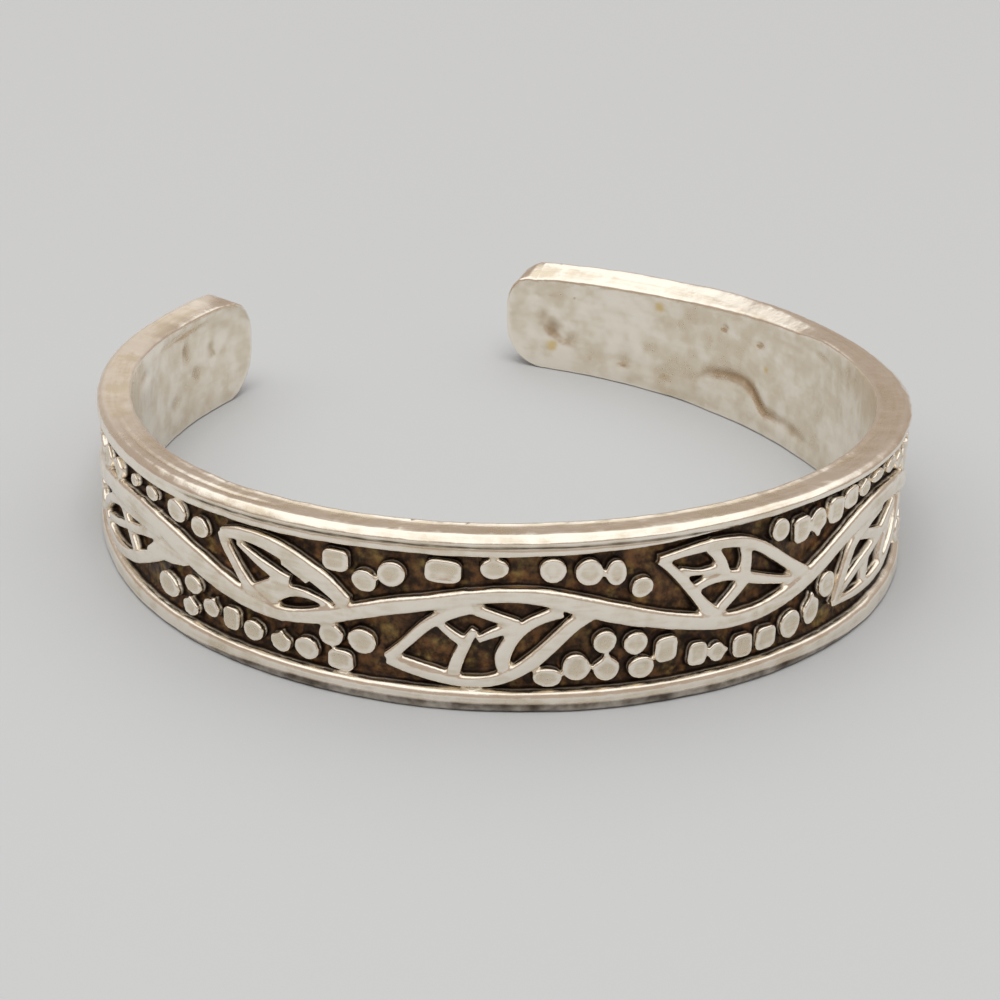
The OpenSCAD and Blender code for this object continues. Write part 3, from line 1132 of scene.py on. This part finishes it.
        # Painted shade darkens the crease over the fold, and the dents are darkened by their depth
        over, fold = self._fold_at(turn, share)
        painted_fold_shade = bell(over, 1.0) * fold / max(row[2] for row in FOLD)
        fold_shade_and_dent_dark = np.where(deep > 0.6 * wall, painted_fold_shade, 0.0)
        for dent in DENTS:
            near = np.where(deep > 0.5 * wall, dent.cover(self.plan, points), 0.0)
            fold_shade_and_dent_dark = np.maximum(fold_shade_and_dent_dark, near * min(1.0, dent.depth / self.dark_dent))
        self._store(ring, "fold_shade_and_dent_dark", fold_shade_and_dent_dark)

    @staticmethod
    def _blur(ring: Piece, values: np.ndarray, rounds: int) -> np.ndarray:
        """Averages the values at a piece's points with those of their neighbours.

        Args:
            ring: The piece.
            values: A row of values for each point.
            rounds: How many times to average.

        Returns:
            The averaged values.
        """
        ends = np.zeros(len(ring.data.edges) * 2, np.int32)
        ring.data.edges.foreach_get("vertices", ends)
        one, two = ends.reshape(-1, 2).T
        size = len(values)
        count = np.bincount(one, minlength=size) + np.bincount(two, minlength=size)
        for _ in range(rounds):
            values = np.column_stack([
                (np.bincount(one, part[two], size) + np.bincount(two, part[one], size)) / count
                for part in values.T])
        return values

    def _convexity(self, ring: Piece, points: np.ndarray) -> np.ndarray:
        """Measures how far each point stands out of its surroundings.

        Args:
            ring: The skin.
            points: Its points.

        Returns:
            Distances in hundredths of a millimetre.
        """
        normals = np.zeros(len(points) * 3, np.float32)
        ring.data.vertex_normals.foreach_get("vector", normals)
        return np.einsum("ij,ij->i", points - self._blur(ring, points, 4), normals.reshape(-1, 3)) * 100

    @staticmethod
    def _store(ring: Piece, name: str, values: np.ndarray) -> None:
        """Stores a number for each point of a piece under a name."""
        attribute = ring.data.attributes.new(name, "FLOAT", "POINT")
        attribute.data.foreach_set("value", values.astype(np.float32))


class Wave:
    """A number that changes over a surface, on which Python's signs add Math nodes."""

    def __init__(self, paint: "Paint", socket: bpy.types.NodeSocket) -> None:
        """Wraps a socket of a finish's node tree."""
        self.paint = paint
        self.socket = socket

    def _math(self, operation: str, *values: Any) -> "Wave":
        """Adds one Math node on these values."""
        return self.paint.add(
            "ShaderNodeMath", {"operation": operation}, dict(enumerate(values)), "Value")

    def __add__(self, other: Any) -> "Wave":
        """Adds two numbers."""
        return self._math("ADD", self, other)

    __radd__ = __add__

    def __sub__(self, other: Any) -> "Wave":
        """Takes one number from another."""
        return self._math("SUBTRACT", self, other)

    def __rsub__(self, other: Any) -> "Wave":
        """Takes one number from another."""
        return self._math("SUBTRACT", other, self)

    def __mul__(self, other: Any) -> "Wave":
        """Multiplies two numbers."""
        return self._math("MULTIPLY", self, other)

    __rmul__ = __mul__

    def between(self, low: float, high: float) -> "Wave":
        """Runs softly from 0 to 1 between two values.

        Args:
            low: Value up to which it is 0.
            high: Value from which on it is 1.

        Returns:
            The number from 0 to 1.
        """
        return self.paint.add(
            "ShaderNodeMapRange", {"interpolation_type": "SMOOTHSTEP"},
            {"Value": self, "From Min": low, "From Max": high}, "Result")


class Paint:
    """A material's node tree, with one way to add a node."""

    def __init__(self, name: str) -> None:
        """Starts a material.

        Args:
            name: Name of the material.
        """
        self.material = bpy.data.materials.new(name)
        self.material.use_nodes = True
        self.tree = self.material.node_tree
        self.shader = self.tree.nodes["Principled BSDF"]

    def add(self, kind: str, settings: dict[str, Any], inputs: dict[Any, Any], output: Any = 0) -> Wave:
        """Adds a node.

        Args:
            kind: The node's type.
            settings: Its settings, which are set first.
            inputs: Values or links of its sockets, by name or number.
            output: Name or number of the socket to hand back.

        Returns:
            The node's output.
        """
        node = self.tree.nodes.new(kind)
        for key, value in settings.items():
            setattr(node, key, value)
        for key, value in inputs.items():
            self.feed(node.inputs[key], value)
        return Wave(self, node.outputs[output])

    def feed(self, socket: bpy.types.NodeSocket, value: Any) -> None:
        """Links a socket, or sets its value.

        Args:
            socket: The socket to feed.
            value: A wave, a number or a colour.
        """
        if isinstance(value, Wave):
            self.tree.links.new(value.socket, socket)
        elif isinstance(value, (tuple, list)) and socket.type == "RGBA" and len(value) == 3:
            socket.default_value = (*value, 1)
        else:
            socket.default_value = value

    def mix(self, factor: Any, one: Any, two: Any) -> Wave:
        """Mixes two colours by a factor."""
        return self.add("ShaderNodeMix", {"data_type": "RGBA"}, {0: factor, 6: one, 7: two}, 2)

    def noise(self, size: float, detail: float = 3.0, rough: float = 0.55, shift: float = 0.0) -> Wave:
        """Adds a soft noise over the object's own coordinates.

        Args:
            size: Size of its patches in millimetres.
            detail: Number of finer layers.
            rough: Strength of the finer layers.
            shift: Distance in millimetres that sets it apart from another noise of the same size.

        Returns:
            The noise, from 0 to 1.
        """
        place = self.add("ShaderNodeTexCoord", {}, {}, "Object")
        moved = self.add("ShaderNodeVectorMath", {"operation": "ADD"}, {0: place, 1: (shift * MM,) * 3})
        return self.add(
            "ShaderNodeTexNoise", {},
            {"Vector": moved, "Scale": 1 / (size * MM), "Detail": detail, "Roughness": rough}, 0)

    def attribute(self, name: str) -> Wave:
        """Reads a number stored at the piece's points."""
        return self.add("ShaderNodeAttribute", {"attribute_name": name}, {}, "Fac")

    def streaks(self, size: float, length: float) -> Wave:
        """Adds fine streaks that run along the band.

        Args:
            size: Their thickness in millimetres.
            length: How many times longer than thick they are.

        Returns:
            The streaks, from 0 to 1.
        """
        place = self.add("ShaderNodeAttribute", {"attribute_name": "strip"}, {}, "Vector")
        drawn = self.add(
            "ShaderNodeVectorMath", {"operation": "MULTIPLY"}, {0: place, 1: (1 / length, 1, 1)})
        return self.add(
            "ShaderNodeTexNoise", {},
            {"Vector": drawn, "Scale": 1 / size, "Detail": 3, "Roughness": 0.6}, 0)

    def bump(self, height: Wave, strength: float, distance: float) -> Wave:
        """Turns a height into a normal.

        Args:
            height: The height, without unit.
            strength: How much of the relief shows, from 0 to 1.
            distance: How many millimetres a height of 1 is.

        Returns:
            The normal.
        """
        return self.add(
            "ShaderNodeBump", {},
            {"Height": height, "Strength": strength, "Distance": distance * MM}, "Normal")


@dataclass(frozen=True)
class OxidisedSilver:
    """Cast silver: bright and warm where it is worn, brown black in the ground, with a few yellow spots;
    painted shade darkens the ground's narrow places, the crease over the fold and the foot of the outer
    face, and a painted highlight brightens what stands out, most of all the right arm's rim.
    """

    plan: Plan
    bright: Colour = (0.97, 0.9, 0.79)
    dull: Colour = (0.78, 0.68, 0.53)
    crease_and_dent_brown: Colour = (0.33, 0.22, 0.12)
    brown: Colour = (0.23, 0.11, 0.04)
    shade_black: Colour = (0.026, 0.012, 0.005)
    olive: Colour = (0.36, 0.26, 0.08)
    yellow: Colour = (0.75, 0.55, 0.2)
    # Yellowed spots on the inner face: turn, share and radius in millimetres
    spots: Sequence[Sequence[float]] = ((123.3, 0.79, 0.2), (139.4, 0.24, 0.22), (104, 0.55, 0.12))
    # Height of the painted shade along the outer face's foot, which stands in for the dark contact shadow
    # that its rounded underside reflects, on the arms and on the front; its softness and strength
    foot: Pair = (0.08, 0.22)
    foot_shade_soft: float = 0.05
    foot_shade_strength: float = 0.55
    # The lengths along the outer face over which the painted foot shade rises to the front, and falls again
    foot_shade_rise: Pair = (-12, -7)
    foot_shade_fall: Pair = (2, 7)

    def make(self) -> bpy.types.Material:
        """Makes the material.

        Returns:
            The material.
        """
        paint = Paint("oxidised_silver")
        sunk, wear_and_highlight, fold_shade_and_dent_dark = (paint.attribute(name) for name in ("sunk", "wear_and_highlight", "fold_shade_and_dent_dark"))
        blotch, cloud, fine = paint.noise(0.45), paint.noise(2.6, 2, shift=9), paint.noise(0.07, 4)
        streaks = (paint.streaks(0.12, 14) - 0.5) * paint.attribute("brushed")
        # The stain is patina that covers what is sunk, with a ragged edge, and is rubbed off what stands
        # out; it also holds the painted shade on the foot of the outer face
        patina_and_shade = (sunk + self._painted_foot_shade(paint) + (blotch - 0.5) * 0.35 - wear_and_highlight * 0.05).between(0.22, 0.66)
        # The bare metal is dull in patches and streaks, brighter with a painted sheen where it stands out,
        # darkened with painted shade in the crease over the fold, darker in its dents and yellow in its
        # spots
        patchy = (cloud + (blotch - 0.5) * 0.9 - wear_and_highlight * 0.2 + streaks * 0.9).between(0.22, 0.78)
        metal = paint.mix(patchy, self.bright, self.dull)
        metal = paint.mix((fold_shade_and_dent_dark + (blotch - 0.5) * 0.5).between(0.2, 1.1) * 0.7, metal, self.crease_and_dent_brown)
        for turn, share, radius in self.spots:
            metal = paint.mix(self._spot(paint, turn, share, radius) * 0.75, metal, self.yellow)
        # The stain is brown with some olive, and painted shade turns it black in narrow places where the
        # relief hems the ground in
        deep = paint.mix(paint.noise(0.4, 4, shift=4).between(0.48, 0.68) * 0.8, self.brown, self.olive)
        clear = (paint.attribute("open") + (paint.noise(0.22, 4) - 0.5) * 1.2).between(0.7, 1.2)
        # Painted shade: black where the ground lies between raised relief
        deep = paint.mix(clear, self.shade_black, deep)
        shader = paint.shader
        paint.feed(shader.inputs["Base Color"], paint.mix(patina_and_shade, metal, deep))
        paint.feed(shader.inputs["Metallic"], 1 - patina_and_shade * 0.5)
        paint.feed(
            shader.inputs["Roughness"],
            0.16 + fine * 0.06 + patchy * 0.08 + patina_and_shade * 0.2 + paint.attribute("satin") * 0.22)
        rough_ground = paint.noise(0.16, 4, shift=2) * (0.5 + patina_and_shade * 4)
        height = fine * 0.12 + rough_ground + paint.noise(0.8, 2, shift=6) * 1.2 + streaks * 0.35
        paint.feed(shader.inputs["Normal"], paint.bump(height, 0.5, 0.02))
        return paint.material

    def _painted_foot_shade(self, paint: Paint) -> Wave:
        """Paints shade on the foot of the outer face, which is highest at the front.

        Args:
            paint: The node tree.

        Returns:
            The painted shade's strength on the foot, 0 above it.
        """
        place = paint.add("ShaderNodeAttribute", {"attribute_name": "strip"}, {}, "Vector")
        along, high = (paint.add("ShaderNodeSeparateXYZ", {}, {0: place}, axis) for axis in ("X", "Z"))
        front = along.between(*self.foot_shade_rise) * (1 - along.between(*self.foot_shade_fall))
        low, top = self.foot
        above = (high - front * (top - low)).between(low - self.foot_shade_soft, low + self.foot_shade_soft)
        return (1 - above) * paint.attribute("outside") * self.foot_shade_strength

    def _spot(self, paint: Paint, turn: float, share: float, radius: float) -> Wave:
        """Marks a round spot on the inner face.

        Args:
            paint: The node tree.
            turn: The spot's turn.
            share: The spot's share.
            radius: Its radius in millimetres.

        Returns:
            1 at the spot's middle, 0 outside it.
        """
        x, z = self.plan.flat(turn, share)
        place = self.plan.roll_up(np.array([[float(x), self.plan.wall, float(z)]]))[0] * MM
        here = paint.add("ShaderNodeTexCoord", {}, {}, "Object")
        far = paint.add(
            "ShaderNodeVectorMath", {"operation": "DISTANCE"}, {0: here, 1: tuple(place)}, "Value")
        return 1 - (far * (1 / (radius * MM)) + (paint.noise(0.15) - 0.5) * 0.8).between(0.2, 1.0)


@dataclass(frozen=True)
class PaleFloor:
    """The plain pale floor."""

    colour: Colour = (0.375, 0.385, 0.395)
    roughness: float = 0.6

    def make(self) -> bpy.types.Material:
        """Makes the material.

        Returns:
            The material.
        """
        paint = Paint("pale_floor")
        paint.feed(paint.shader.inputs["Base Color"], self.colour)
        paint.feed(paint.shader.inputs["Roughness"], self.roughness)
        return paint.material


@dataclass(frozen=True)
class Softbox:
    """A square soft light that looks at the ring, and that the silver shows no image of."""

    name: str
    azimuth: float
    elevation: float
    distance: float
    size: float
    power: float
    colour: Colour

    def build(self) -> None:
        """Hangs the light."""
        lamp = bpy.data.lights.new(self.name, "AREA")
        lamp.shape = "SQUARE"
        lamp.size = self.size
        lamp.energy = self.power
        lamp.color = self.colour
        light = bpy.data.objects.new(self.name, lamp)
        light.visible_glossy = False
        bpy.context.scene.collection.objects.link(light)
        back = Studio.direction(self.azimuth, self.elevation)
        light.location = back * self.distance
        light.rotation_mode = "QUATERNION"
        light.rotation_quaternion = (-back).to_track_quat("-Z", "Y")


@dataclass
class Studio:
    """The floor, the lights and the camera at the photograph's angle."""

    azimuth: float = -20.5
    elevation: float = 24.87
    distance: float = 0.05955
    lens: float = 95.65
    roll: float = -1.48
    # Where the bore's centre on the base plane shows, in a picture of 1000 by 1000
    centre_px: Pair = (505.1, 524.0)
    picture_px: float = 1000.0
    # Width of the camera's picture plane in millimetres, and how near and far it sees in metres
    sensor: float = 36.0
    clip: Pair = (0.002, 20.0)
    floor_size: float = 3.0
    # Colours of the room's walls and ceiling, and the heights between which one becomes the other
    low_sky: Colour = (0.43, 0.355, 0.305)
    high_sky: Colour = (1.16, 1.15, 1.13)
    sky_from: float = 0.38
    sky_to: float = 0.66
    lights: Sequence[Softbox] = (
        Softbox("top_light", 155, 78, 0.9, 0.55, 0.6, (1.0, 0.98, 0.95)),
        Softbox("front_light", -25, 68, 0.9, 0.6, 5.2, (1.0, 0.98, 0.95)),
        Softbox("left_light", -85, 50, 0.9, 0.45, 0.8, (1.0, 0.97, 0.93)),
    )

    @staticmethod
    def direction(azimuth: float, elevation: float) -> Vector:
        """Direction from the ring towards an azimuth and elevation in degrees."""
        a, e = math.radians(azimuth), math.radians(elevation)
        return Vector((math.sin(a) * math.cos(e), -math.cos(a) * math.cos(e), math.sin(e)))

    def build(self) -> None:
        """Builds the floor, the sky, the lights and the camera."""
        self._floor()
        self._sky()
        for light in self.lights:
            light.build()
        self._camera()

    def _floor(self) -> None:
        """Lays the floor."""
        Bench.put_down()
        bpy.ops.mesh.primitive_plane_add(size=self.floor_size)
        floor = bpy.context.active_object
        floor.name = "floor"
        floor.data.materials.append(PaleFloor().make())

    def _sky(self) -> None:
        """Fills the room with a soft light that is brighter overhead than along the walls."""
        world = bpy.data.worlds.new("room")
        world.use_nodes = True
        nodes, link = world.node_tree.nodes, world.node_tree.links.new
        place, split = nodes.new("ShaderNodeTexCoord"), nodes.new("ShaderNodeSeparateXYZ")
        rise, mix = nodes.new("ShaderNodeMapRange"), nodes.new("ShaderNodeMix")
        rise.interpolation_type = "SMOOTHSTEP"
        rise.inputs["From Min"].default_value = self.sky_from
        rise.inputs["From Max"].default_value = self.sky_to
        mix.data_type = "RGBA"
        mix.inputs[6].default_value = (*self.low_sky, 1)
        mix.inputs[7].default_value = (*self.high_sky, 1)
        link(place.outputs["Generated"], split.inputs["Vector"])
        link(split.outputs["Z"], rise.inputs["Value"])
        link(rise.outputs["Result"], mix.inputs[0])
        link(mix.outputs[2], nodes["Background"].inputs["Color"])
        bpy.context.scene.world = world
        bpy.context.scene.view_settings.view_transform = "Standard"

    def _camera(self) -> None:
        """Sets the camera up as the photograph was taken."""
        data = bpy.data.cameras.new("camera")
        data.sensor_width = self.sensor
        data.lens = self.lens
        data.clip_start, data.clip_end = self.clip
        data.shift_x = -(self.centre_px[0] - self.picture_px / 2) / self.picture_px
        data.shift_y = (self.centre_px[1] - self.picture_px / 2) / self.picture_px
        camera = bpy.data.objects.new("camera", data)
        bpy.context.scene.collection.objects.link(camera)
        back = self.direction(self.azimuth, self.elevation)
        aim = (-back).to_track_quat("-Z", "Y").to_matrix().to_4x4()
        turned = aim @ Matrix.Rotation(math.radians(-self.roll), 4, "Z")
        camera.matrix_world = Matrix.Translation(back * self.distance) @ turned
        bpy.context.scene.camera = camera


def main() -> None:
    """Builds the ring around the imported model, then the studio."""
    logging.basicConfig(level=logging.INFO, format="%(name)s: %(message)s")
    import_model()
    Studio().build()
    plan = Plan()
    ring = Casting(plan, Strip(plan)).build("silver_band")
    ring.data.materials.clear()
    ring.data.materials.append(OxidisedSilver(plan).make())
    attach(ring, "root")
    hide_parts("toe_ring")
    LOG.info("ring dressed: %d triangles", len(ring.data.polygons))


if __name__ == "__main__":
    main()
